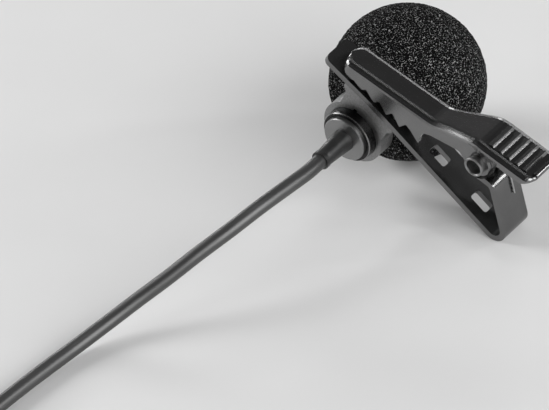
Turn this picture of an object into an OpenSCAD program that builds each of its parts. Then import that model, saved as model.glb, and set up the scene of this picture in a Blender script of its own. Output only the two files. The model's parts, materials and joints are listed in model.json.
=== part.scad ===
/* [Capsule housing] */
// Outer diameter of the tubular housing
housing_d = 8.3; // [6:0.1:12]
// Wall of the housing tube
housing_wall = 0.6; // [0.4:0.05:1]
// Length of the housing tube
housing_l = 17.4; // [14:0.1:24]
// How far the tube stands out behind the holder's near face
housing_back = 1.5; // [0.5:0.1:3]
// How far the rear cap stands out behind the tube
rear_cap_proud = 0.66; // [0.3:0.02:1.5]
// Thickness of the front grille's rim
grille_rim = 0.6; // [0.4:0.05:1.2]
// Diameter of each sound hole in the grille
grille_hole_d = 1.1; // [0.6:0.1:1.2]
// Pitch circle diameter of the outer sound holes
grille_pcd = 4.2; // [3.6:0.1:5]

/* [Electret capsule and board] */
// Diameter of the electret capsule's can
can_d = 6; // [4:0.1:6.4]
// Length of the electret capsule's can
can_l = 3.3; // [2:0.1:4]
// Thickness of the preamplifier board
board_t = 0.8; // [0.4:0.1:1.2]
// Free gap between the board and the can
board_gap = 0.7; // [0.4:0.1:1.5]
// Diameter of each signal wire
wire_d = 0.7; // [0.4:0.1:0.9]

/* [Strain relief boot] */
// Length of the boot outside the rear cap
boot_l = 5.64; // [4:0.02:12]
// Diameter of the boot at the rear cap
boot_base_d = 3.5; // [3:0.1:4.4]
// Diameter of the boot at its free end
boot_end_d = 2.9; // [2.8:0.1:3.4]

/* [Foam windscreen] */
// Diameter of the foam ball
foam_d = 23; // [20:0.5:30]
// Distance of the ball's centre ahead of the holder's near face
foam_y = 13.4; // [12:0.1:16]
// Distance of the ball's flat back ahead of the holder's near face
foam_back = 5.6; // [5.5:0.1:7]

/* [Lower jaw] */
// Width of the lower jaw strip
jaw_w = 5.5; // [5.2:0.1:6]
// Thickness of the lower jaw strip
strip_t = 0.95; // [0.8:0.05:1.1]
// Radius of the strip's centreline round the tail bend
tail_r = 1.7; // [1.4:0.1:2.2]
// Corner radius of the tip
tip_r = 1.1; // [0.4:0.1:2]
// Length of each slot through the strip
slot_l = 3.2; // [2:0.1:4]
// Width of each slot through the strip
slot_w = 1.95; // [1:0.05:2.6]

/* [Upper jaw] */
// Sheet thickness of the upper jaw
lever_t = 0.6; // [0.4:0.05:0.8]
// Width of the toothed nose
nose_w = 4.9; // [4.4:0.1:5.2]
// Width of the thumb pad
pad_w = 7.3; // [6.5:0.1:9]
// Outer radius of the fold between the roof and its sides
fold_r = 1; // [0.7:0.05:1.2]
// Number of grip ribs on the thumb pad
rib_count = 5; // [3:1:5]
// Distance between grip ribs
rib_pitch = 1.5; // [1.2:0.02:1.6]
// Height of each grip rib
rib_h = 0.4; // [0.2:0.05:0.6]
// Gap between the closed teeth and the lower jaw
tooth_gap = 0.15; // [0.1:0.05:0.4]

/* [Pivot and spring] */
// Outer diameter of the hollow pivot eyelet
eyelet_d = 2.9; // [2.4:0.1:3]
// Wall of the pivot eyelet
eyelet_wall = 0.25; // [0.2:0.05:0.5]
// Diameter of the eyelet's rolled ends
eyelet_rim_d = 3.2; // [3.1:0.1:3.6]
// How far the eyelet's near end stands out
eyelet_proud = 1; // [0.4:0.05:1.1]
// Wall of the knuckles and lugs round the eyelet
knuckle_wall = 0.55; // [0.4:0.05:0.65]
// Width of the lower jaw's near knuckle
near_knuckle_w = 1.5; // [1:0.05:1.55]
// Width of the lower jaw's far knuckle
far_knuckle_w = 0.6; // [0.4:0.05:0.65]
// Distance of the first knuckle from the strip's near edge
knuckle_inset = 1.05; // [1:0.05:1.1]
// Wire diameter of the torsion spring
spring_wire_d = 0.35; // [0.25:0.05:0.35]

/* [Microphone holder] */
// Width of the holder's ring along the microphone
holder_w = 2.9; // [2:0.1:4]
// Radial wall of the holder's ring
holder_wall = 0.9; // [0.6:0.05:1.2]
// Distance of the microphone's axis below the lower jaw
holder_drop = 7.7; // [7.4:0.1:9]
// Distance of the microphone's axis from the jaw's tip
holder_l = 9.8; // [8:0.1:12]
// Reach of the holder's foot towards the jaw's tip
foot_near = 5.5; // [5.2:0.1:6.5]
// Reach of the holder's foot towards the tail
foot_far = 4.2; // [4:0.1:5]
// Diameter of each staked peg
peg_d = 1; // [0.8:0.05:1.1]
// Distance of the pegs from the strip's near edge
peg_w = 1.6; // [1.5:0.1:2]
// Distance between the two staked pegs
peg_pitch = 6; // [5:0.1:7]

/* [Cord] */
// Diameter of the cord
cord_d = 2.27; // [1.8:0.01:2.6]
// Turns in each layer of the coil
coil_layer_turns = 3; // [2:1:4]
// Layers of the coil
coil_layers = 4; // [2:2:4]
// Mean diameter at the middle of the coil's turns
coil_mean_d = 27.2; // [24:0.1:34]
// Free gap between neighbouring turns of the coil
coil_gap = 0.47; // [0.45:0.01:0.8]
// Thickness of the tie round the coil
tie_t = 0.6; // [0.4:0.1:1]
// Width of the tie round the coil
tie_w = 5; // [3:0.5:8]

/* [Plug] */
// Diameter of the plug's moulded body
plug_d = 6.2; // [5.6:0.1:8]
// Length of the plug's moulded body
plug_l = 15; // [12:0.5:20]
// Length of the plug's flexible strain relief
plug_boot_l = 9; // [6:0.5:14]

/* [Hidden] */
// Turns of the torsion spring, less the part that its two arms take up.
spring_turns = 1;
// The plug standard fixes the contact pin's diameter.
pin_d = 3.5;
fit_gap = 0.05;
seat_gap = 0.3;
$fn = 48;

// Centreline of the bent strip, from its tip round the tail to the shoulder: along the jaw, up, radius.
strip_path = [[-0.4, -0.49, 0], [10, -0.13, 100], [38.4, -1.4, tail_r], [29.85, 7.2, 1.4]];
pivot = [26.05, 8.1];
slot_places = [21.2, 30.1];
slot_corner_r = 0.4;
seat_room_end = 36;

// The upper jaw's roof line, from the nose over both bends to the rolled end: along the jaw, up, radius.
roof_path = [[1.7, 2.3, 0], [17.4, 7.2, 3], [23.8, 12.9, 3], [33.3, 15.55, 0]];
roof_kink = [23.8, 12.9];
roof_end = [33.3, 15.55];
nose_depth = 1.4;
flare_start = 17.5;
flare_end = 25.5;
skirt_flare_start = 28;
skirt_flare_end = 30.2;
skirt_top = 10;
pad_corner_r = 1.5;
roll_r = 0.5;
rib_start = 2.28;
rib_inset = 1.15;
rib_back = 0.75;
rib_front = 0.3;
rib_sink = 0.2;
jaw_clear = 3;
jaw_clear_top = 20;
station_start = 15.6;
station_end = 31.2;
station_step = 0.6;

// Lower edge of the upper jaw's sides, from the rolled end back to the last tooth: along, up, radius.
jaw_side = [
    [33.7, 15.2, 0.4], [32.5, 13.75, 1], [29, 12.65, 3], [27.3, 11.5, 0.8], [26.9, 9.9, 0],
    [26.05, 8.8, 0], [25.2, 6.6, 0], [24.5, 6.5, 0.3], [23, 7.14, 0.6], [21.4, 6.4, 1],
    [18.3, 4.75, 0.6], [17.4, 3.9, 0.7], [17.5, 2.6, 0.5], [17.85, 1.36, 0.12], [15.8, 2.15, 0.5]
];
nose_x = roof_path[0].x;
pad_end_x = roof_end.x + roll_r;
jaw_lip = [[4.9, 0.75, 0.2], [4.1, 0.2, 0.15], [3.3, 0.5, 0.2], [1.7, 2.2, 0]];

// Tips of the saw teeth, and the rounded gullet behind each.
tooth_pitch = 2.55;
tooth_count = 4;
first_tooth = 6.6;
tooth_lift = [0.22, 0.05];
gullet_step = [0.5, 0.95];
gullet_growth = 0.2;
gullet_r = 0.28;
tooth_tip_r = 0.1;

// Axial places along the microphone, measured from the holder's near face.
housing_r = housing_d / 2;
inner_r = housing_r - housing_wall;
cap_r = inner_r - 0.01;
tube_back = -housing_back;
tube_front = tube_back + housing_l;
cap_back = tube_back - rear_cap_proud;
cap_floor_t = 1.6;
cap_skirt_t = 0.5;
cap_skirt_l = 1.6;
boot_back = cap_back - boot_l;
spigot_r = boot_base_d / 2;
boot_flange_t = 0.6;
boot_flange_r = spigot_r + 0.6;
boot_flange_back = cap_back + cap_floor_t;
crimp_back = boot_flange_back + boot_flange_t;
crimp_l = 1.6;
crimp_wall = 0.4;
grille_back = tube_front - 0.6;
grille_front = tube_front + grille_rim;
mesh_t = 0.2;
felt_t = 0.5;
mesh_back = grille_back - mesh_t;
felt_back = mesh_back - felt_t;
can_front = felt_back;
can_back = can_front - can_l;
board_front = can_back - board_gap;
board_back = board_front - board_t;

// Pivot pieces across the jaw's width.
eyelet_r = eyelet_d / 2;
lug_bore_r = eyelet_r + fit_gap;
lug_r = lug_bore_r + knuckle_wall;
nose_near = (jaw_w - nose_w) / 2;
nose_far = nose_near + nose_w;
pad_near = (jaw_w - pad_w) / 2;
knuckle_near = knuckle_inset;
knuckle_far = jaw_w - knuckle_inset - far_knuckle_w;
spring_side_gap = 0.1;
spring_room = knuckle_far - knuckle_near - near_knuckle_w - spring_wire_d - 2 * spring_side_gap;
spring_r = lug_bore_r + spring_wire_d / 2 + 0.1;
lug_clear_r = lug_r + seat_gap;

// Seat of the clip and the microphone when they lie on a table.
foam_r = foam_d / 2;
foam_front = foam_y + foam_r;
tail_out_r = tail_r + strip_t / 2;
tail_centre = corner_centre(plan(strip_path[1]), plan(strip_path[2]), plan(strip_path[3]), tail_r);
tail_arm = tail_centre - [holder_l, -holder_drop];
clip_tilt = atan2(tail_arm.y, tail_arm.x) + asin((foam_r - tail_out_r) / norm(tail_arm));
pad_arm = roof_end - [holder_l, -holder_drop];
reach_x = pad_arm.x * cos(clip_tilt) + pad_arm.y * sin(clip_tilt) + roll_r;
axis_x = (foam_r - reach_x) / 2;
axis_y = -(foam_front + boot_back) / 2;
axis_z = foam_r;

// The cord's free route: across, along and up from the surface, then the coil's own start.
cord_r = cord_d / 2;
exit_point = [axis_x, axis_y + boot_back, axis_z];
run_steps = [
    [0, 0, 11.5], [0, -3, 11.5], [-0.5, -7, 11.5], [-1.5, -12.5, 11.2], [-3.2, -17.8, 10],
    [-5.5, -22.5, 8.3], [-8, -27, 6.2], [-10.6, -31.5, 4.2], [-12.8, -36.2, 2.5], [-14.4, -41.6, 1.5],
    [-15.3, -47.6, 1.3], [-15.9, -54, 1.3], [-16.4, -62, 1.3], [-16.6, -70, 1.5], [-16.6, -78, 1.9],
    [-16.6, -84.4, 1.9]
];
run_points = [for (step = run_steps) [exit_point.x + step.x, exit_point.y + step.y, step.z]];
coil_pitch = cord_d + coil_gap;
full_turns = coil_layers * coil_layer_turns;
coil_turns = full_turns + 0.25;
coil_rings = 24;
coil_out_r = coil_mean_d / 2 + coil_layer_turns * coil_pitch / 2;
coil_low_z = run_points[len(run_points) - 1].z;
coil_lead = cord_d + 0.03;
coil_start = run_points[len(run_points) - 1] - [0, coil_lead, 0];
coil_centre = coil_start + [coil_out_r, 0, 0];
tail_steps = [
    [0, 0, 0], [3, 0, 0], [8.5, 0.8, -1], [13, 2.8, -2.8], [16.8, 6, -4.6],
    [19.5, 10, -6.2], [21.3, 14.2, -7], [22.7, 18, -7]
];
plug_turn = 20;
plug_lead = 2;

// Plug contacts, from the moulded body's face to the tip.
pin_r = pin_d / 2;
plug_r = plug_d / 2;
sleeve_l = 7.5;
insulator_l = 0.7;
ring_l = 1.6;
tip_l = 3.5;
core_r = 1.05;

function plan(point) = [point.x, point.y];
function unit(vector) = vector / norm(vector);
function turned(vector, angle) = [
    vector.x * cos(angle) - vector.y * sin(angle),
    vector.x * sin(angle) + vector.y * cos(angle)
];
function cross_z(a, b) = a.x * b.y - a.y * b.x;

// Centre of the arc of radius r that rounds the corner at p between a and b.
function corner_centre(a, p, b, r) =
    let (u = unit(a - p), v = unit(b - p), half = acos(u * v) / 2)
    p + unit(u + v) * r / sin(half);

// Points of that arc, or the corner itself where r is 0.
function corner(a, p, b, r, steps) = r == 0 ? [p] :
    let (
        u = unit(a - p), v = unit(b - p), half = acos(u * v) / 2,
        centre = corner_centre(a, p, b, r),
        first = p + u * r / tan(half) - centre,
        sweep = (180 - 2 * half) * sign(cross_z(-u, v))
    )
    [for (i = [0:steps]) centre + turned(first, sweep * i / steps)];

// Closed outline with rounded corners, from points of x, y, radius.
function outline(points, steps = 5) =
    let (n = len(points))
    [for (i = [0:n - 1])
        each corner(plan(points[(i + n - 1) % n]), plan(points[i]), plan(points[(i + 1) % n]),
                    points[i].z, steps)];

// Open line with rounded corners.
function bent_line(points, steps) =
    let (n = len(points) - 1)
    [for (i = [0:n])
        each i == 0 || i == n ? [plan(points[i])] :
        corner(plan(points[i - 1]), plan(points[i]), plan(points[i + 1]), points[i].z, steps)];

// Outline of a strip of even thickness along a line.
function ribbon(line, thickness) =
    let (
        n = len(line) - 1,
        side = [for (i = [0:n])
            turned(unit(line[min(i + 1, n)] - line[max(i - 1, 0)]), 90) * thickness / 2]
    )
    concat([for (i = [0:n]) line[i] + side[i]], [for (i = [n:-1:0]) line[i] - side[i]]);

function sum(list, i = 0) = i < len(list) ? list[i] + sum(list, i + 1) : 0;

// Smooth step from 0 to 1.
function ease(k) = let (c = min(max(k, 0), 1)) c * c * (3 - 2 * c);

// Closed solid through rings of equally many points.
module skin(rings) {
    n = len(rings) - 1;
    sides = len(rings[0]);
    faces = concat(
        [[for (j = [sides - 1:-1:0]) j]],
        [[for (j = [0:sides - 1]) n * sides + j]],
        [for (i = [0:n - 1]) for (j = [0:sides - 1])
            let (k = (j + 1) % sides)
            each [[i * sides + j, i * sides + k, (i + 1) * sides + j],
                  [i * sides + k, (i + 1) * sides + k, (i + 1) * sides + j]]]
    );
    polyhedron(points = [for (ring = rings) each ring], faces = faces);
}

// Solid of a tube swept along points, with a flat face at each end.
module swept_tube(points, radius, sides) {
    n = len(points) - 1;
    skin([for (i = [0:n])
        let (
            along = unit(points[min(i + 1, n)] - points[max(i - 1, 0)]),
            right = unit(cross(along, abs(along.z) > 0.95 ? [1, 0, 0] : [0, 0, 1])),
            over = cross(right, along)
        )
        [for (j = [0:sides - 1])
            points[i] + radius * (cos(360 * (j + 0.5) / sides) * right
                                + sin(360 * (j + 0.5) / sides) * over)]]);
}

// Stands local pieces on the microphone's axis: local y runs along it, towards the foam.
module on_mic_axis() translate([axis_x, axis_y, axis_z]) children();

// Turns what is drawn along z so that it lies along the microphone's axis from y = from.
module along_axis(from) translate([0, from, 0]) rotate([-90, 0, 0]) children();

// Stands local pieces on the clip: local x along the jaw, y across it, z from lower to upper jaw.
module on_clip() on_mic_axis() rotate([0, clip_tilt, 0]) translate([-holder_l, 0, holder_drop]) children();

// Extrudes a side profile of the clip across its width.
module across(from, to) translate([0, to, 0]) rotate([90, 0, 0]) linear_extrude(to - from) children();

module housing_tube() color("#26272a") on_mic_axis() along_axis(tube_back) rotate_extrude() {
    chamfer = 0.15;
    polygon([
        [inner_r, 0], [housing_r - chamfer, 0], [housing_r, chamfer],
        [housing_r, housing_l], [inner_r, housing_l]
    ]);
}

module rear_cap() color("#4a4b4e") on_mic_axis() along_axis(cap_back) rotate_extrude() {
    chamfer = 0.12;
    skirt_end = cap_floor_t + cap_skirt_l;
    polygon([
        [spigot_r, 0], [cap_r - chamfer, 0], [cap_r, chamfer], [cap_r, skirt_end],
        [cap_r - cap_skirt_t, skirt_end], [cap_r - cap_skirt_t, cap_floor_t], [spigot_r, cap_floor_t]
    ]);
}

module front_grille() color("#303134") on_mic_axis() difference() {
    along_axis(grille_back) rotate_extrude() polygon([
        [0, 0], [cap_r, 0], [cap_r, tube_front - grille_back], [housing_r, tube_front - grille_back],
        [housing_r, grille_front - grille_back - 0.25], [housing_r - 0.25, grille_front - grille_back],
        [0, grille_front - grille_back]
    ]);
    along_axis(grille_back - 1) cylinder(d = grille_hole_d, h = 4, $fn = 24);
    for (i = [0:5])
        rotate([0, 60 * i, 0]) translate([grille_pcd / 2, 0, 0])
            along_axis(grille_back - 1) cylinder(d = grille_hole_d, h = 4, $fn = 24);
}

module dust_mesh() color("#6b6e73") on_mic_axis() along_axis(mesh_back) cylinder(r = cap_r, h = mesh_t);

module damping_felt() color("#3a3a3a") on_mic_axis() along_axis(felt_back) cylinder(r = cap_r, h = felt_t);

module electret_capsule() color("#b8babd") on_mic_axis() {
    along_axis(can_back) rotate_extrude() polygon([
        [0, 0], [can_d / 2, 0], [can_d / 2, can_l - 0.2], [can_d / 2 - 0.2, can_l], [0, can_l]
    ]);
    for (side = [-1, 1])
        translate([side * can_d / 6, 0, 0]) along_axis(board_front)
            cylinder(d = 0.6, h = board_gap + 0.1, $fn = 24);
}

module capsule_gasket() color("#1c1c1e") on_mic_axis() along_axis(can_back - 0.4) rotate_extrude() polygon([
    [can_d / 2 - 0.7, 0], [cap_r, 0], [cap_r, can_l + 0.4], [can_d / 2 + 0.01, can_l + 0.4],
    [can_d / 2 + 0.01, 0.39], [can_d / 2 - 0.7, 0.39]
]);

module preamp_board() color("#1f5a3a") on_mic_axis() along_axis(board_back)
    cylinder(r = inner_r - 0.2, h = board_t);

module signal_wires() color("#a33b32") on_mic_axis()
    for (side = [-1, 1])
        translate([side * cord_d / 4, 0, 0]) along_axis(crimp_back + crimp_l)
            cylinder(d = wire_d, h = board_back - crimp_back - crimp_l, $fn = 24);

module cord_crimp() color("#c9a14a") on_mic_axis() along_axis(crimp_back) difference() {
    cylinder(r = cord_r + crimp_wall, h = crimp_l);
    translate([0, 0, -1]) cylinder(r = cord_r + 0.01, h = crimp_l + 2);
}

module cord_lead() color("#232326") on_mic_axis() along_axis(boot_back)
    cylinder(r = cord_r, h = crimp_back + crimp_l - boot_back);

module strain_relief_boot() color("#1d1e20") on_mic_axis() along_axis(boot_back) rotate_extrude() {
    rim_l = 0.7;
    rim_step = 0.12;
    bore_r = cord_r + 0.01;
    end_r = boot_end_d / 2;
    base_l = boot_l;
    floor_l = base_l + cap_floor_t;
    polygon([
        [bore_r, 0], [end_r, 0], [end_r, rim_l], [end_r - rim_step, rim_l + 0.1],
        [end_r - rim_step + 0.05, rim_l + 0.5], [spigot_r - 0.01, base_l], [spigot_r - 0.01, floor_l],
        [boot_flange_r, floor_l], [boot_flange_r, floor_l + boot_flange_t], [bore_r, floor_l + boot_flange_t]
    ]);
}

module foam_windscreen() color("#3c3c3c") on_mic_axis() difference() {
    intersection() {
        translate([0, foam_y, 0]) rotate([-90, 0, 0]) sphere(r = foam_r, $fn = 64);
        translate([-foam_d, foam_back, -foam_d]) cube(2 * foam_d);
    }
    along_axis(foam_back - 1) cylinder(r = housing_r + fit_gap, h = grille_front + fit_gap - foam_back + 1);
}

// Side profile of the holder, drawn from the microphone's axis.
module holder_profile() {
    seat = holder_drop + strip_path[1].y - strip_t / 2;
    difference() {
        union() {
            circle(r = housing_r + fit_gap + holder_wall);
            polygon(outline([
                [-foot_near, seat - 0.8, 0.3], [-foot_near + 0.9, seat - 1.5, 0.8],
                [-4.1, 2.2, 0], [4.1, 2.2, 0],
                [foot_far - 0.5, seat - 1.5, 0.8], [foot_far, seat - 0.8, 0.3],
                [foot_far, seat + 1, 0], [-foot_near, seat + 1, 0]
            ]));
        }
        circle(r = housing_r + fit_gap);
    }
}

module mic_holder() color("#55565a") {
    notch_w = 0.8;
    peg_foot = -strip_t - 1;
    peg_top = strip_path[1].y + strip_t / 2 + 0.01;
    difference() {
        on_mic_axis() rotate([0, clip_tilt, 0]) difference() {
            across(0, holder_w) holder_profile();
            rotate([0, -24, 0]) translate([0, holder_w / 2, housing_r + fit_gap])
                cube([notch_w, holder_w + 1, notch_w], center = true);
        }
        on_clip() across(-1, jaw_w + 1) strip_with_room();
    }
    on_clip() at_pegs() {
        translate([0, 0, peg_foot]) cylinder(d = peg_d, h = peg_top - peg_foot, $fn = 24);
        translate([0, 0, peg_top]) cylinder(d = peg_d + 0.3, h = 0.25, $fn = 24);
    }
}

// The strip and everything above it, which the holder's seat stops at.
module strip_with_room() {
    under = [0, strip_t / 2 + 0.01];
    line = [for (point = bent_line(strip_path, 12))
        if (point.y < -strip_t / 2 + 0.5 && point.x < seat_room_end) point - under];
    polygon(concat([[-3, line[0].y]], line, [[line[len(line) - 1].x, 9], [-3, 9]]));
}

// Places of the two pegs that stake the holder to the strip.
module at_pegs() for (side = [-1, 1]) translate([holder_l + side * peg_pitch / 2, peg_w, 0]) children();

// Centreline of the strip with its run down to the knuckles.
function knuckled_line() =
    let (
        shoulder = plan(strip_path[3]),
        gap = pivot - shoulder,
        mid_r = lug_r - knuckle_wall / 2,
        heading = atan2(gap.y, gap.x) + asin(mid_r / norm(gap)),
        run = sqrt(norm(gap) * norm(gap) - mid_r * mid_r)
    )
    bent_line(concat(strip_path, [concat(shoulder + run * [cos(heading), sin(heading)], [0])]), 12);

module lower_jaw() color("#45464a") on_clip() difference() {
    union() {
        difference() {
            across(0, jaw_w) polygon(ribbon(knuckled_line(), strip_t));
            translate([pivot.x, -1, pivot.y]) rotate([-90, 0, 0]) cylinder(r = lug_clear_r, h = jaw_w + 2);
        }
        for (knuckle = [[knuckle_near, near_knuckle_w], [knuckle_far, far_knuckle_w]])
            across(knuckle[0], knuckle[0] + knuckle[1]) {
                intersection() {
                    polygon(ribbon(knuckled_line(), strip_t));
                    translate(pivot) circle(r = lug_clear_r + seat_gap);
                }
                translate(pivot) circle(r = lug_r);
            }
    }
    translate([pivot.x, -1, pivot.y]) rotate([-90, 0, 0]) cylinder(r = lug_bore_r, h = jaw_w + 2);
    for (place = slot_places) translate([place, jaw_w / 2, -3]) linear_extrude(4)
        polygon(outline([
            [-slot_l / 2, -slot_w / 2, slot_corner_r], [slot_l / 2, -slot_w / 2, slot_corner_r],
            [slot_l / 2, slot_w / 2, slot_corner_r], [-slot_l / 2, slot_w / 2, slot_corner_r]
        ]));
    for (side = [0, 1]) translate([strip_path[0].x, side * jaw_w, -2]) mirror([0, side, 0])
        linear_extrude(4) difference() {
            translate([-1, -1]) square([tip_r + 1, tip_r + 1]);
            translate([tip_r, tip_r]) circle(r = tip_r);
        }
    at_pegs() cylinder(d = peg_d + 0.04, h = 4 * strip_t, center = true, $fn = 24);
}

module pivot_eyelet() color("#6a6b6f") on_clip() translate([pivot.x, 0, pivot.y]) rotate([-90, 0, 0])
    rotate_extrude() {
        rim_t = 0.25;
        near = nose_near - eyelet_proud;
        far = nose_far + fit_gap;
        bore = eyelet_r - eyelet_wall;
        rim_r = eyelet_rim_d / 2;
        polygon([
            [bore, near + 0.12], [bore + 0.12, near], [rim_r - 0.1, near], [rim_r, near + 0.1],
            [rim_r, near + rim_t], [eyelet_r, near + rim_t + 0.1], [eyelet_r, far], [rim_r, far],
            [rim_r, far + rim_t], [bore + 0.15, far + rim_t], [bore, far + rim_t - 0.15]
        ]);
    }

// The torsion spring's wire: an arm under the roof, the turns, then an arm down the return leg.
spring_first_angle = 30;
spring_leg_dir = unit(plan(strip_path[2]) - plan(strip_path[3]));
spring_leg_out = strip_t / 2 + spring_wire_d / 2 + 0.05;
spring_leg_top = plan(strip_path[3]) + turned(spring_leg_dir, 90) * spring_leg_out;
spring_leg_l = 3.2;
spring_arm_l = 2.6;
spring_knee = spring_leg_top + spring_leg_dir * 0.6;
spring_foot = spring_leg_top + spring_leg_dir * spring_leg_l;
spring_knee_arm = spring_knee - pivot;
spring_last_angle = atan2(spring_knee_arm.y, spring_knee_arm.x) + acos(spring_r / norm(spring_knee_arm));
spring_sweep = 360 * spring_turns + spring_first_angle - spring_last_angle;
spring_start_w = knuckle_near + near_knuckle_w + spring_side_gap + spring_wire_d / 2;
spring_steps = ceil(spring_sweep / 25);
spring_turn_points = [for (i = [0:spring_steps])
    let (angle = spring_first_angle - spring_sweep * i / spring_steps)
    [pivot.x + spring_r * cos(angle), spring_start_w + spring_room * i / spring_steps,
     pivot.y + spring_r * sin(angle)]];
spring_arm_dir = [cos(spring_first_angle + 90), 0, sin(spring_first_angle + 90)];
spring_end_w = spring_start_w + spring_room;
spring_line = concat(
    [spring_turn_points[0] + spring_arm_l * spring_arm_dir],
    spring_turn_points,
    [[spring_knee.x, spring_end_w, spring_knee.y], [spring_foot.x, spring_end_w, spring_foot.y]]
);
spring_least_gap = spring_room * 360 / spring_sweep - spring_wire_d;

module jaw_spring() color("#8d8f94") {
    echo(spring_least_gap_mm = spring_least_gap);
    on_clip() swept_tube(spring_line, spring_wire_d / 2, 6);
}

function tooth_tip(i) = [first_tooth + i * tooth_pitch, tooth_gap + tooth_lift[0] + tooth_lift[1] * i * i];

// Side profile of the upper jaw: its lower edge with the teeth, closed well above the roof.
function jaw_profile() = outline(concat(
    [[nose_x, jaw_clear_top, 0], [pad_end_x + jaw_clear, jaw_clear_top, 0], [pad_end_x + jaw_clear, 15.2, 0]],
    jaw_side,
    [for (i = [tooth_count - 1:-1:0]) each [
        concat(tooth_tip(i) + gullet_step + [0, gullet_growth * i], [gullet_r]),
        concat(tooth_tip(i), [tooth_tip_r])
    ]],
    jaw_lip
), 4);

// Height of the roof, and half the width of the jaw at its roof and at its sides' lower edge.
roof_line = bent_line(roof_path, 6);
function flared(x, start, end) = (pad_w - nose_w) / 2 * ease((x - start) / (end - start));
function rounded_nose(x) = sqrt(1 - pow(max(nose_depth - (x - nose_x), 0) / nose_depth, 2));
function rounded_end(x) =
    let (into = min(max(x - pad_end_x + pad_corner_r, 0), pad_corner_r))
    pad_corner_r - sqrt(pad_corner_r * pad_corner_r - into * into);
function half_width(x, start, end) =
    nose_w / 2 * rounded_nose(x) + flared(x, start, end) - rounded_end(x);

// Cross-section of the folded jaw at a place along it, drawn in by a wall.
function jaw_section(x, wall) =
    let (
        half = half_width(x, flare_start, flare_end) - wall,
        low_half = half_width(x, skirt_flare_start, skirt_flare_end) - wall,
        top = lookup(x, roof_line) - wall * 1.08,
        r = min(fold_r - wall, half - 0.01),
        knee = min(skirt_top, top - r - 0.02),
        side = concat(
            [[-low_half, -jaw_clear], [-low_half, knee]],
            [for (a = [0:22.5:90]) [-half + r - r * cos(a), top - r + r * sin(a)]]
        )
    )
    concat(
        [for (p = side) [x, jaw_w / 2 + p.x, p.y]],
        [for (i = [len(side) - 1:-1:0]) [x, jaw_w / 2 - side[i].x, side[i].y]]
    );

// Places along the jaw where its section changes: round nose, bends and flare, round end.
jaw_stations = concat(
    [for (a = [12:13:90]) nose_x + nose_depth * (1 - cos(a))],
    [for (x = [station_start:station_step:station_end]) x],
    [for (a = [10:16:90]) pad_end_x - pad_corner_r * (1 - sin(a))]
);

module jaw_form(wall, from, to) skin([for (x = concat([from], jaw_stations, [to]))
    if (x >= from && x <= to) jaw_section(x, wall)]);

module upper_jaw() color("#3f4043") on_clip() {
    pad_slope = atan2(roof_end.y - roof_kink.y, roof_end.x - roof_kink.x);
    difference() {
        union() {
            difference() {
                intersection() {
                    jaw_form(0, nose_x + 0.01, pad_end_x - 0.01);
                    across(-pad_w, 2 * pad_w) polygon(jaw_profile());
                }
                jaw_form(lever_t, nose_x + lever_t, pad_end_x + 1);
            }
            for (near = [nose_near, nose_far - lever_t])
                across(near, near + lever_t) translate(pivot) circle(r = lug_r);
        }
        translate([pivot.x, -pad_w, pivot.y]) rotate([-90, 0, 0]) cylinder(r = lug_bore_r, h = 3 * pad_w);
    }
    translate([roof_kink.x, pad_near, roof_kink.y]) rotate([0, -pad_slope, 0]) {
        for (i = [0:rib_count - 1]) translate([rib_start + i * rib_pitch, 0, 0])
            across(rib_inset, pad_w - rib_inset)
                polygon([
                    [-rib_back, -rib_sink], [-rib_back, 0.02], [0, rib_h],
                    [rib_front, 0.02], [rib_front, -rib_sink]
                ]);
        translate([norm(roof_end - roof_kink), pad_corner_r, 0]) rotate([-90, 0, 0])
            cylinder(r = roll_r, h = pad_w - 2 * pad_corner_r);
    }
}

module cord_run() color("#232326") swept_tube(run_points, cord_r, 8);

// Radius, height and angle of the coil after a number of turns.
function coil_wave(turn) =
    let (k = turn % (2 * coil_layer_turns))
    turn > full_turns ? full_turns - turn : coil_layer_turns - abs(coil_layer_turns - k);
function climb_part(turn, layer) = ease((turn + 0.25 - layer * coil_layer_turns) / 0.5);
function coil_climb(turn) = coil_pitch * sum([for (layer = [1:coil_layers - 1]) climb_part(turn, layer)]);
function coil_point(turn) = [
    coil_centre.x + (coil_out_r - coil_pitch * coil_wave(turn)) * cos(180 + 360 * turn),
    coil_centre.y + (coil_out_r - coil_pitch * coil_wave(turn)) * sin(180 + 360 * turn),
    coil_low_z + coil_climb(turn)
];
coil_body = [for (i = [0:coil_turns * coil_rings]) coil_point(i / coil_rings)];
coil_last = coil_body[len(coil_body) - 1];
coil_exit_dir = [1, 0, 0];
coil_points = concat([coil_start + [0, coil_lead, 0]], coil_body, [coil_last + coil_lead * coil_exit_dir]);
coil_least_gap = min([for (i = [0:len(coil_body) - 1 - coil_rings / 2])
    for (j = [i + coil_rings / 2:len(coil_body) - 1]) norm(coil_body[i] - coil_body[j])]) - cord_d;

module cord_coil() color("#232326") {
    echo(coil_least_gap_mm = coil_least_gap);
    swept_tube(coil_points, cord_r, 6);
}

tail_start = coil_points[len(coil_points) - 1];
tail_bend = [for (step = tail_steps) tail_start + step];
tail_end = tail_bend[len(tail_bend) - 1] + plug_lead * [sin(plug_turn), cos(plug_turn), 0];
tail_points = concat(tail_bend, [tail_end]);

module cord_tail() color("#232326") swept_tube(tail_points, cord_r, 8);

module coil_tie() color("#17181a") translate([coil_centre.x, coil_centre.y, 0]) rotate([0, 0, -45]) {
    inner = coil_out_r - coil_layer_turns * coil_pitch - cord_r - 0.55;
    outer = coil_out_r + cord_r + 0.15;
    low = tie_t;
    high = coil_low_z + (coil_layers - 1) * coil_pitch + cord_r + 0.1;
    translate([0, tie_w / 2, 0]) rotate([90, 0, 0]) linear_extrude(tie_w) difference() {
        polygon(outline([
            [inner - tie_t, 0, 1.5], [outer + tie_t, 0, 1.5],
            [outer + tie_t, high + tie_t, 1.5], [inner - tie_t, high + tie_t, 1.5]
        ]));
        polygon(outline([[inner, low, 0.3], [outer, low, 0.3], [outer, high, 0.3], [inner, high, 0.3]]));
    }
}

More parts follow.
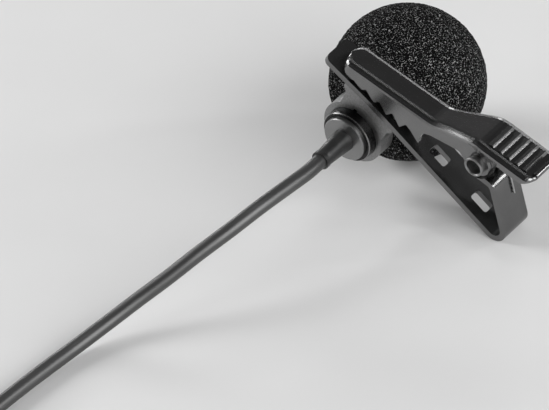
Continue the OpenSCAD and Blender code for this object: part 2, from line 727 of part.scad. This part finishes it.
// Stands the plug's pieces at the cord's far end, drawn along z.
module on_plug(from) translate(tail_end) rotate([0, 0, -plug_turn]) translate([0, from, 0])
    rotate([-90, 0, 0]) children();

module plug_strain_relief() color("#1a1b1d") on_plug(0) rotate_extrude() polygon([
    [0, 0], [cord_r + 0.45, 0], [cord_r + 1.2, plug_boot_l], [0, plug_boot_l]
]);

module plug_body() color("#1d1e20") on_plug(plug_boot_l) rotate_extrude() polygon([
    [0, 0], [plug_r - 0.6, 0], [plug_r, 0.8], [plug_r, plug_l - 1], [plug_r - 0.4, plug_l - 0.6],
    [plug_r - 0.4, plug_l], [0, plug_l]
]);

sleeve_start = plug_boot_l + plug_l;
ring_start = sleeve_start + sleeve_l + insulator_l;
tip_start = ring_start + ring_l + insulator_l;

module plug_sleeve() color("#c8a85a") on_plug(sleeve_start) difference() {
    cylinder(r = pin_r, h = sleeve_l);
    translate([0, 0, -1]) cylinder(r = core_r, h = sleeve_l + 2);
}

module plug_ring() color("#c8a85a") on_plug(ring_start) difference() {
    cylinder(r = pin_r, h = ring_l);
    translate([0, 0, -1]) cylinder(r = core_r, h = ring_l + 2);
}

module plug_tip() color("#c8a85a") on_plug(tip_start) rotate_extrude() polygon([
    [0, 0], [pin_r, 0], [pin_r, 0.5], [pin_r - 0.5, 1.2], [pin_r - 0.05, 2.1], [0.6, tip_l], [0, tip_l]
]);

module plug_insulators() color("#111214") on_plug(sleeve_start) {
    cylinder(r = core_r - 0.01, h = tip_start - sleeve_start);
    for (start = [sleeve_l, sleeve_l + insulator_l + ring_l])
        translate([0, 0, start]) cylinder(r = pin_r, h = insulator_l);
}

housing_tube();
rear_cap();
front_grille();
dust_mesh();
damping_felt();
electret_capsule();
capsule_gasket();
preamp_board();
signal_wires();
cord_crimp();
cord_lead();
strain_relief_boot();
foam_windscreen();
mic_holder();
lower_jaw();
pivot_eyelet();
jaw_spring();
upper_jaw();
cord_run();
cord_coil();
cord_tail();
coil_tie();
plug_strain_relief();
plug_body();
plug_sleeve();
plug_ring();
plug_tip();
plug_insulators();
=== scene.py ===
"""Lavalier microphone on its clip: looks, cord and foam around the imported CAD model. Lengths are in metres."""

import json
import math

import bpy
import numpy as np
from mathutils import Matrix, Vector, noise

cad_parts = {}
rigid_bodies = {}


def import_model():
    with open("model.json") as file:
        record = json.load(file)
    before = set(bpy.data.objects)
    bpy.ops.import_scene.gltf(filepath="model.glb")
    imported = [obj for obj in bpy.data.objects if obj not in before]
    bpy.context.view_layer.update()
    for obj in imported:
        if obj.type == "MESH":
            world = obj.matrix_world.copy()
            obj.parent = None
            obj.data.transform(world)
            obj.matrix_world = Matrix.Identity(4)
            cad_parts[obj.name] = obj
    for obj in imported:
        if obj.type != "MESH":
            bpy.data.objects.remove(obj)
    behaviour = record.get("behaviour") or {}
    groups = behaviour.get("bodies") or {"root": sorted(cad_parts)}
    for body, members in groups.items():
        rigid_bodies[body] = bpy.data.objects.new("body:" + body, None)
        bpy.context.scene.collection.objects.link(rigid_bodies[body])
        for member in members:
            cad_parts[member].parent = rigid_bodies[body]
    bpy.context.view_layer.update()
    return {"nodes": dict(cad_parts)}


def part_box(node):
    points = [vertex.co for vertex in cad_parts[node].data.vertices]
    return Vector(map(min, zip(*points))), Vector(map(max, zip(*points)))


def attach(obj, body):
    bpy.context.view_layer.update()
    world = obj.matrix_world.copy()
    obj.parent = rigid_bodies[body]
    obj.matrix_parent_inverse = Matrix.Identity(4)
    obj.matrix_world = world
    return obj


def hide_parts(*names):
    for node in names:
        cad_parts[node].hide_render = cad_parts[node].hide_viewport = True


MM = 0.001

for leftover in list(bpy.data.objects):
    bpy.data.objects.remove(leftover)
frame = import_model()
nodes = frame["nodes"]


def in_scene(name, data):
    """A new object of this data, linked to the scene."""
    made = bpy.data.objects.new(name, data)
    bpy.context.scene.collection.objects.link(made)
    return made


# Materials. Scales are repeats to the metre, relief depths are in millimetres.

MIX_A, MIX_B, MIX_OUT = 6, 7, 2  # the colour sockets of a Mix node


def new_material(name):
    """A material with an empty node tree but for its shader and output."""
    made = bpy.data.materials.new(name)
    made.use_nodes = True
    tree = made.node_tree
    tree.nodes.clear()
    shader = tree.nodes.new("ShaderNodeBsdfPrincipled")
    output = tree.nodes.new("ShaderNodeOutputMaterial")
    tree.links.new(shader.outputs["BSDF"], output.inputs["Surface"])
    return made, tree, shader


def object_coords(tree):
    """Coordinates that stay with the piece as it moves."""
    return tree.nodes.new("ShaderNodeTexCoord").outputs["Object"]


def noise_node(tree, coords, scale, detail, rough=0.6):
    made = tree.nodes.new("ShaderNodeTexNoise")
    made.inputs["Scale"].default_value = scale
    made.inputs["Detail"].default_value = detail
    made.inputs["Roughness"].default_value = rough
    tree.links.new(coords, made.inputs["Vector"])
    return made.outputs["Fac"]


def ramp(tree, value, stops):
    """A colour ramp from (position, grey or colour) pairs."""
    made = tree.nodes.new("ShaderNodeValToRGB")
    band = made.color_ramp
    while len(band.elements) < len(stops):
        band.elements.new(0.5)
    for element, (place, colour) in zip(band.elements, stops):
        element.position = place
        element.color = (*colour, 1) if isinstance(colour, tuple) else (colour, colour, colour, 1)
    tree.links.new(value, made.inputs["Fac"])
    return made.outputs["Color"]


def spread(tree, value, low, high):
    """From low to high over the range that a noise takes up."""
    return ramp(tree, value, [(0.3, low), (0.7, high)])


def bump(tree, shader, height, depth):
    """Surface relief that follows a height."""
    made = tree.nodes.new("ShaderNodeBump")
    made.inputs["Distance"].default_value = depth * MM
    made.inputs["Strength"].default_value = 1
    tree.links.new(height, made.inputs["Height"])
    tree.links.new(made.outputs["Normal"], shader.inputs["Normal"])


def grained(name, tones, roughs, mottle, mottle_detail, grain, grain_detail, depth):
    """A surface with a mottle in its colour, and a finer grain in its gloss and relief."""
    made, tree, shader = new_material(name)
    coords = object_coords(tree)
    blotch = noise_node(tree, coords, mottle, mottle_detail)
    fine = noise_node(tree, coords, grain, grain_detail)
    tree.links.new(spread(tree, blotch, *tones), shader.inputs["Base Color"])
    tree.links.new(spread(tree, fine, *roughs), shader.inputs["Roughness"])
    bump(tree, shader, fine, depth)
    return made, shader


def plain_metal(name, low, high, rough_low, rough_high, grain=2500, depth=0.004, mottle=260):
    """Metal, bare or under a thin coat."""
    made, shader = grained(name, (low, high), (rough_low, rough_high), mottle, 4, grain, 2, depth)
    shader.inputs["Metallic"].default_value = 1
    return made


def moulded(name, low, high, rough_low, rough_high, grain=1500, depth=0.01, specular=0.5, mottle=180):
    """Plastic, rubber or felt."""
    made, shader = grained(name, (low, high), (rough_low, rough_high), mottle, 3, grain, 3, depth)
    shader.inputs["Specular IOR Level"].default_value = specular
    return made


# A lighter band at the housing's rear chamfer, painted highlight along that edge.
RIM_MIDDLE, RIM_HALF, RIM_HIGHLIGHT_TONE = 0.10 * MM, 0.07 * MM, 0.26


def painted_rim_highlight(made, middle_y, half_width, tone):
    """Lightens the band about middle_y along the microphone: a painted highlight on the housing's rear chamfer."""
    tree = made.node_tree
    shader = tree.nodes["Principled BSDF"]
    coat = shader.inputs["Base Color"].links[0].from_socket
    split = tree.nodes.new("ShaderNodeSeparateXYZ")
    tree.links.new(object_coords(tree), split.inputs[0])
    near = tree.nodes.new("ShaderNodeMath")
    near.operation = "COMPARE"
    tree.links.new(split.outputs["Y"], near.inputs[0])
    near.inputs[1].default_value = middle_y
    near.inputs[2].default_value = half_width
    mix = tree.nodes.new("ShaderNodeMix")
    mix.data_type = "RGBA"
    tree.links.new(near.outputs[0], mix.inputs[0])
    tree.links.new(coat, mix.inputs[MIX_A])
    mix.inputs[MIX_B].default_value = (tone, tone, tone, 1)
    tree.links.new(mix.outputs[MIX_OUT], shader.inputs["Base Color"])


CELLS, CELL_VARIETY = 5200, 0.7
WALL_NOISE, WALL_NOISE_SHARE = 9000, 0.12
# Painted light: the dark stops stand in for the shade inside the cells, the bright top stop for highlights on the
# cell walls.
PIT_SHADE_AND_WALL_HIGHLIGHT_TONES = [(0.52, 0.001), (0.64, 0.006), (0.74, 0.034), (0.87, 0.32)]


def foam_material():
    """Open-cell foam, its colour painted with shade in the dark pits between fine cell walls and with highlights
    where their corners catch the light.
    """
    made, tree, shader = new_material("foam_cells_painted_light")
    coords = object_coords(tree)
    cells = tree.nodes.new("ShaderNodeTexVoronoi")
    cells.feature = "F1"
    cells.inputs["Scale"].default_value = CELLS
    cells.inputs["Randomness"].default_value = CELL_VARIETY
    tree.links.new(coords, cells.inputs["Vector"])
    broken = tree.nodes.new("ShaderNodeMath")
    broken.operation = "MULTIPLY_ADD"
    tree.links.new(noise_node(tree, coords, WALL_NOISE, 1), broken.inputs[0])
    broken.inputs[1].default_value = WALL_NOISE_SHARE
    tree.links.new(cells.outputs["Distance"], broken.inputs[2])
    tree.links.new(ramp(tree, broken.outputs[0], PIT_SHADE_AND_WALL_HIGHLIGHT_TONES), shader.inputs["Base Color"])
    shader.inputs["Roughness"].default_value = 0.8
    shader.inputs["Specular IOR Level"].default_value = 0.02
    bump(tree, shader, cells.outputs["Distance"], 0.02)
    return made


def mesh_material():
    """Woven steel mesh: crossed wires in the relief."""
    made, tree, shader = new_material("dust_mesh_look")
    coords = object_coords(tree)
    waves = []
    for axis in ("X", "Z"):
        wave = tree.nodes.new("ShaderNodeTexWave")
        wave.bands_direction = axis
        wave.inputs["Scale"].default_value = 1400
        tree.links.new(coords, wave.inputs["Vector"])
        waves.append(wave.outputs["Fac"])
    both = tree.nodes.new("ShaderNodeMath")
    both.operation = "MAXIMUM"
    tree.links.new(waves[0], both.inputs[0])
    tree.links.new(waves[1], both.inputs[1])
    tree.links.new(ramp(tree, both.outputs[0], [(0.4, 0.02), (0.8, 0.3)]), shader.inputs["Base Color"])
    shader.inputs["Metallic"].default_value = 1
    shader.inputs["Roughness"].default_value = 0.4
    bump(tree, shader, both.outputs[0], 0.03)
    return made


def board_material():
    """Green solder mask over the board's weave."""
    made, tree, shader = new_material("board_look")
    coords = object_coords(tree)
    weave = noise_node(tree, coords, 900, 2)
    tree.links.new(ramp(tree, weave, [(0.4, (0.005, 0.06, 0.03)), (0.6, (0.01, 0.1, 0.05))]),
                   shader.inputs["Base Color"])
    shader.inputs["Roughness"].default_value = 0.35
    bump(tree, shader, weave, 0.01)
    return made


def fabric_material():
    """Hook and loop strap: short looped pile."""
    made, tree, shader = new_material("tie_fabric_look")
    coords = object_coords(tree)
    pile = noise_node(tree, coords, 3200, 4, 0.75)
    tree.links.new(ramp(tree, pile, [(0.35, 0.008), (0.6, 0.03), (0.75, 0.08)]), shader.inputs["Base Color"])
    shader.inputs["Roughness"].default_value = 0.9
    shader.inputs["Sheen Weight"].default_value = 0.3
    bump(tree, shader, pile, 0.12)
    return made


upper_steel = plain_metal("upper_steel", 0.20, 0.225, 0.21, 0.25, grain=6000, depth=0.0006)
# Painted shade: the lower jaw's black steel is set darker than the upper jaw's same steel, to stand in for the
# shade on its outer leg.
lower_steel_painted_shade = plain_metal("lower_steel_painted_shade", 0.165, 0.19, 0.22, 0.26, grain=6000, depth=0.0006)
holder_metal = plain_metal("holder_metal", 0.19, 0.31, 0.28, 0.42, grain=3400, depth=0.05, mottle=3400)
# Black anodising, with painted shade: the housing's base is set far darker than the cap's, standing in for the
# shade it sits in between the foam and the clip.
anodised_and_painted_shade = plain_metal("anodised_black_and_painted_shade", 0.028, 0.038, 0.26, 0.30, grain=7000, depth=0.0005)
# Painted highlight along the housing's rear chamfer.
painted_rim_highlight(anodised_and_painted_shade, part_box("housing_tube")[0].y + RIM_MIDDLE, RIM_HALF, RIM_HIGHLIGHT_TONE)
cap_metal = plain_metal("cap_metal", 0.25, 0.28, 0.32, 0.37, grain=7000, depth=0.0005)
eyelet_metal = plain_metal("eyelet_metal", 0.24, 0.28, 0.38, 0.44, grain=7000, depth=0.0005)
spring_steel = plain_metal("spring_steel_look", 0.35, 0.45, 0.2, 0.3)
gold = plain_metal("contact_gold_look", (0.72, 0.50, 0.20), (0.80, 0.58, 0.26), 0.16, 0.24)
brass = plain_metal("brass_look", (0.55, 0.38, 0.14), (0.62, 0.44, 0.18), 0.3, 0.4)
can_metal = plain_metal("capsule_can_look", 0.5, 0.6, 0.25, 0.35)
boot_rubber = moulded("boot_rubber_look", 0.010, 0.020, 0.30, 0.46, grain=2200, depth=0.03, specular=0.7)
gasket_rubber = moulded("gasket_rubber_look", 0.012, 0.018, 0.6, 0.7)
plug_plastic = moulded("plug_plastic_look", 0.016, 0.022, 0.36, 0.46)
insulator = moulded("insulator_look", 0.010, 0.014, 0.3, 0.4)
wire_cover = moulded("wire_cover_look", (0.30, 0.03, 0.02), (0.36, 0.04, 0.03), 0.4, 0.5)
felt = moulded("felt_look", 0.02, 0.05, 0.9, 1.0, grain=2500, depth=0.1, specular=0.1)
foam_look = foam_material()
jacket = moulded("cord_jacket_look", 0.022, 0.029, 0.37, 0.41, grain=1900, depth=0.004, specular=1.0, mottle=120)
mesh_look = mesh_material()
board_look = board_material()
tie_look = fabric_material()

LOOKS = {
    "housing_tube": anodised_and_painted_shade, "rear_cap": cap_metal, "front_grille": anodised_and_painted_shade,
    "dust_mesh": mesh_look, "damping_felt": felt, "electret_capsule": can_metal,
    "capsule_gasket": gasket_rubber, "preamp_board": board_look, "signal_wires": wire_cover,
    "cord_crimp": brass, "cord_lead": jacket, "strain_relief_boot": boot_rubber,
    "foam_windscreen": foam_look, "mic_holder": holder_metal, "lower_jaw": lower_steel_painted_shade,
    "pivot_eyelet": eyelet_metal, "jaw_spring": spring_steel, "upper_jaw": upper_steel,
    "cord_run": jacket, "cord_coil": jacket, "cord_tail": jacket, "coil_tie": tie_look,
    "plug_strain_relief": boot_rubber, "plug_body": plug_plastic, "plug_sleeve": gold,
    "plug_ring": gold, "plug_tip": gold, "plug_insulators": insulator,
}
for name, look in LOOKS.items():
    nodes[name].data.materials.clear()
    nodes[name].data.materials.append(look)


SHARP = math.radians(32)
SHEET_METAL = ("upper_jaw", "lower_jaw")
BEVELS_MM = {
    "upper_jaw": 0.12, "lower_jaw": 0.10, "mic_holder": 0.08, "housing_tube": 0.14, "rear_cap": 0.14,
    "pivot_eyelet": 0.05, "strain_relief_boot": 0.06, "plug_body": 0.15, "coil_tie": 0.15,
}


def round_edges(name, width):
    """Bevels a CAD node's sharp edges, so that they catch the light. Sheet metal keeps its faces flat."""
    made = nodes[name].modifiers.new("rounded_edges", "BEVEL")
    made.width = width * MM
    made.segments = 2
    made.limit_method = "ANGLE"
    made.angle_limit = SHARP
    made.harden_normals = name in SHEET_METAL
    for face in nodes[name].data.polygons:
        face.use_smooth = True


for name, width in BEVELS_MM.items():
    round_edges(name, width)


# Cord, on the same route as its CAD solids. The route's values are in millimetres.

housing_low, housing_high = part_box("housing_tube")
AXIS = Vector(((housing_low.x + housing_high.x) / 2, 0, (housing_low.z + housing_high.z) / 2))
EXIT = Vector((AXIS.x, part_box("strain_relief_boot")[0].y, AXIS.z))
CORD_D = 2.27 * MM
RUN_STEPS = [
    (0, 0, 11.5), (0, -3, 11.5), (-0.5, -7, 11.5), (-1.5, -12.5, 11.2), (-3.2, -17.8, 10),
    (-5.5, -22.5, 8.3), (-8, -27, 6.2), (-10.6, -31.5, 4.2), (-12.8, -36.2, 2.5), (-14.4, -41.6, 1.5),
    (-15.3, -47.6, 1.3), (-15.9, -54, 1.3), (-16.4, -62, 1.3), (-16.6, -70, 1.5), (-16.6, -78, 1.9),
    (-16.6, -84.4, 1.9),
]
TAIL_STEPS = [
    (0, 0, 0), (3, 0, 0), (8.5, 0.8, -1), (13, 2.8, -2.8), (16.8, 6, -4.6),
    (19.5, 10, -6.2), (21.3, 14.2, -7), (22.7, 18, -7),
]
PLUG_TURN, PLUG_LEAD = math.radians(20), 2
LAYERS, LAYER_TURNS, LAST_TURN, CLIMB_TURNS = 4, 3, 0.25, 0.5
PITCH, OUT_R, LOW_Z, LEAD = 2.74, 17.71, 1.9, 2.3
POINTS_PER_TURN, POINT_STEP = 72, 0.8


def ease(k):
    """Smooth step from 0 to 1."""
    k = min(max(k, 0), 1)
    return k * k * (3 - 2 * k)


def coil_points(centre):
    """The coil's turns, wound in and out layer by layer."""
    full = LAYERS * LAYER_TURNS
    points = []
    for i in range(int((full + LAST_TURN) * POINTS_PER_TURN) + 1):
        turn = i / POINTS_PER_TURN
        inward = LAYER_TURNS - abs(LAYER_TURNS - turn % (2 * LAYER_TURNS))
        if turn > full:
            inward = full - turn
        radius = OUT_R - PITCH * inward
        climb = sum(ease((turn - layer * LAYER_TURNS) / CLIMB_TURNS + 0.5) for layer in range(1, LAYERS))
        angle = math.pi + 2 * math.pi * turn
        points.append(centre + Vector((radius * math.cos(angle), radius * math.sin(angle), LOW_Z + PITCH * climb)))
    return points


def smooth_line(points):
    """Points along a Catmull-Rom curve through the given ones."""
    made = []
    for i in range(len(points) - 1):
        p0, p1 = points[max(i - 1, 0)], points[i]
        p2, p3 = points[i + 1], points[min(i + 2, len(points) - 1)]
        parts = max(1, round((p2 - p1).length / POINT_STEP))
        for j in range(parts):
            t = j / parts
            made.append(0.5 * ((2 * p1) + (p2 - p0) * t + (2 * p0 - 5 * p1 + 4 * p2 - p3) * t * t
                               + (3 * p1 - p0 - 3 * p2 + p3) * t ** 3))
    return made + [points[-1]]


def cord_route():
    """From the boot over the run, the coil and the tail to the plug."""
    exit_mm = EXIT / MM
    run = [Vector((exit_mm.x + x, exit_mm.y + y, z)) for x, y, z in RUN_STEPS]
    coil_start = run[-1] - Vector((0, LEAD, 0))
    coil = coil_points(Vector((coil_start.x + OUT_R, coil_start.y, 0)))
    tail_start = coil[-1] + Vector((LEAD, 0, 0))
    tail = [tail_start + Vector(step) for step in TAIL_STEPS]
    tail.append(tail[-1] + PLUG_LEAD * Vector((math.sin(PLUG_TURN), math.cos(PLUG_TURN), 0)))
    return [point * MM for point in smooth_line(run) + coil + smooth_line(tail)]


def tube(name, points, diameter, look):
    """A round tube along the points, with closed ends."""
    curve = bpy.data.curves.new(name, "CURVE")
    curve.dimensions = "3D"
    curve.bevel_depth = diameter / 2
    curve.bevel_resolution = 8
    curve.use_fill_caps = True
    curve.twist_mode = "MINIMUM"
    spline = curve.splines.new("POLY")
    spline.points.add(len(points) - 1)
    for target, point in zip(spline.points, points):
        target.co = (*point, 1)
    spline.use_smooth = True
    curve.materials.append(look)
    return in_scene(name, curve)


route = cord_route()
cord = tube("cord", route, CORD_D, jacket)
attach(cord, "mic")
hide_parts("cord_run", "cord_coil", "cord_tail")


# Foam windscreen: the CAD solid's form, remeshed finely, with small lumps outside its bore

BORE_R = 5.2 * MM
VOXEL, QUICK_VOXEL = 0.26 * MM, 0.5 * MM
LUMP_DEPTH = 0.10 * MM
LUMPS = ((2000, 1), (3900, 0.6))


def foam_mesh():
    """The windscreen's solid as an even, fine mesh."""
    rough = in_scene("foam_rough", nodes["foam_windscreen"].data.copy())
    remesh = rough.modifiers.new("even", "REMESH")
    remesh.mode = "VOXEL"
    remesh.voxel_size = VOXEL
    graph = bpy.context.evaluated_depsgraph_get()
    mesh = bpy.data.meshes.new_from_object(rough.evaluated_get(graph))
    bpy.data.objects.remove(rough)
    return mesh


def vertex_values(mesh, kind):
    """One row of three for each vertex."""
    values = np.empty(len(mesh.vertices) * 3)
    mesh.vertices.foreach_get(kind, values)
    return values.reshape(-1, 3)


def foam_ball():
    mesh = foam_mesh()
    places, normals = vertex_values(mesh, "co"), vertex_values(mesh, "normal")
    bore = np.hypot(places[:, 0] - AXIS.x, places[:, 2] - AXIS.z) < BORE_R
    lift = np.array([sum(share * noise.noise(Vector(p) * scale) for scale, share in LUMPS) for p in places])
    lift = np.where(bore, 0, lift * LUMP_DEPTH)
    places = places + normals * lift[:, None]
    places[:, 2] = np.maximum(places[:, 2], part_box("foam_windscreen")[0].z)
    mesh.vertices.foreach_set("co", places.ravel())
    for face in mesh.polygons:
        face.use_smooth = True
    mesh.materials.clear()
    mesh.materials.append(foam_look)
    return in_scene("foam_ball", mesh)


foam = foam_ball()
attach(foam, "windscreen")
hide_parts("foam_windscreen")


# Floor, camera and light

FLOOR_HALF = 6.0
FLOOR_TONES = (0.72, 0.735)


def floor_material():
    """Pale paper with a faint mottle."""
    made, tree, shader = new_material("floor_paper")
    grain = noise_node(tree, object_coords(tree), 40, 2)
    tree.links.new(spread(tree, grain, *FLOOR_TONES), shader.inputs["Base Color"])
    shader.inputs["Roughness"].default_value = 0.9
    shader.inputs["Specular IOR Level"].default_value = 0.1
    return made


floor_mesh = bpy.data.meshes.new("floor")
corners = [(x * FLOOR_HALF, y * FLOOR_HALF, 0) for x, y in ((-1, -1), (1, -1), (1, 1), (-1, 1))]
floor_mesh.from_pydata(corners, [], [(0, 1, 2, 3)])
floor_mesh.materials.append(floor_material())
floor = in_scene("floor", floor_mesh)

RIGHT = Vector((0.7853, 0.6027, -0.1414))
UP = Vector((-0.2750, 0.5443, 0.7926))
BACK = Vector((0.5546, -0.5836, 0.5932))
HOLDER_FACE = Vector((AXIS.x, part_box("mic_holder")[0].y, AXIS.z))
AIM_LEFT, AIM_DOWN = 11.2 * MM, 10.6 * MM
VIEW_WIDTH = 79.22 * MM
DISTANCE = 1.5
SENSOR = 36

camera_data = bpy.data.cameras.new("camera")
camera_data.sensor_width = SENSOR
camera_data.lens = SENSOR * DISTANCE / VIEW_WIDTH
camera_data.clip_start = 0.01
camera_data.clip_end = 20
camera = in_scene("camera", camera_data)
aim = HOLDER_FACE - RIGHT * AIM_LEFT - UP * AIM_DOWN
facing = Matrix((RIGHT, UP, BACK)).transposed()
camera.matrix_world = Matrix.Translation(aim + BACK * DISTANCE) @ facing.to_4x4()
bpy.context.scene.camera = camera

LIT_POINT = Vector((-0.01, -0.01, 0.01))
LAMPS = {  # direction, distance, width, height and power
    "key": ((-0.85, -0.20, 0.50), 0.8, 0.36, 0.36, 3.8),
    "right": ((0.88, -0.15, 0.42), 0.9, 1.00, 0.75, 10.5),
    "back": ((-0.20, 0.88, 0.44), 0.8, 0.60, 0.10, 1.4),
    "front": ((-0.575, -0.80, 0.14), 0.8, 0.24, 0.04, 1.5),
    "side": ((0.78, 0.58, 0.33), 0.8, 0.05, 0.16, 0.80),
    "top": ((-0.45, 0.62, 0.64), 1.0, 0.90, 0.70, 0.12),
    "rim": ((-0.85, 0.42, 0.24), 0.8, 0.30, 0.05, 0.8),
    "over": ((0.0, 0.15, 0.98), 0.9, 0.50, 0.03, 0.45),
}
WORLD_GREY = 0.038


def softbox(name, direction, distance, width, height, power):
    """A rectangular lamp that faces the microphone from a direction."""
    data = bpy.data.lights.new(name, "AREA")
    data.shape = "RECTANGLE"
    data.size = width
    data.size_y = height
    data.energy = power
    made = in_scene(name, data)
    direction = Vector(direction).normalized()
    made.location = LIT_POINT + direction * distance
    made.rotation_mode = "QUATERNION"
    made.rotation_quaternion = (-direction).to_track_quat("-Z", "Y")


for name, values in LAMPS.items():
    softbox(name, *values)

world = bpy.data.worlds.new("studio")
world.use_nodes = True
background = world.node_tree.nodes["Background"]
background.inputs["Color"].default_value = (WORLD_GREY, WORLD_GREY, WORLD_GREY, 1)
background.inputs["Strength"].default_value = 1
bpy.context.scene.world = world
bpy.context.scene.view_settings.view_transform = "Standard"
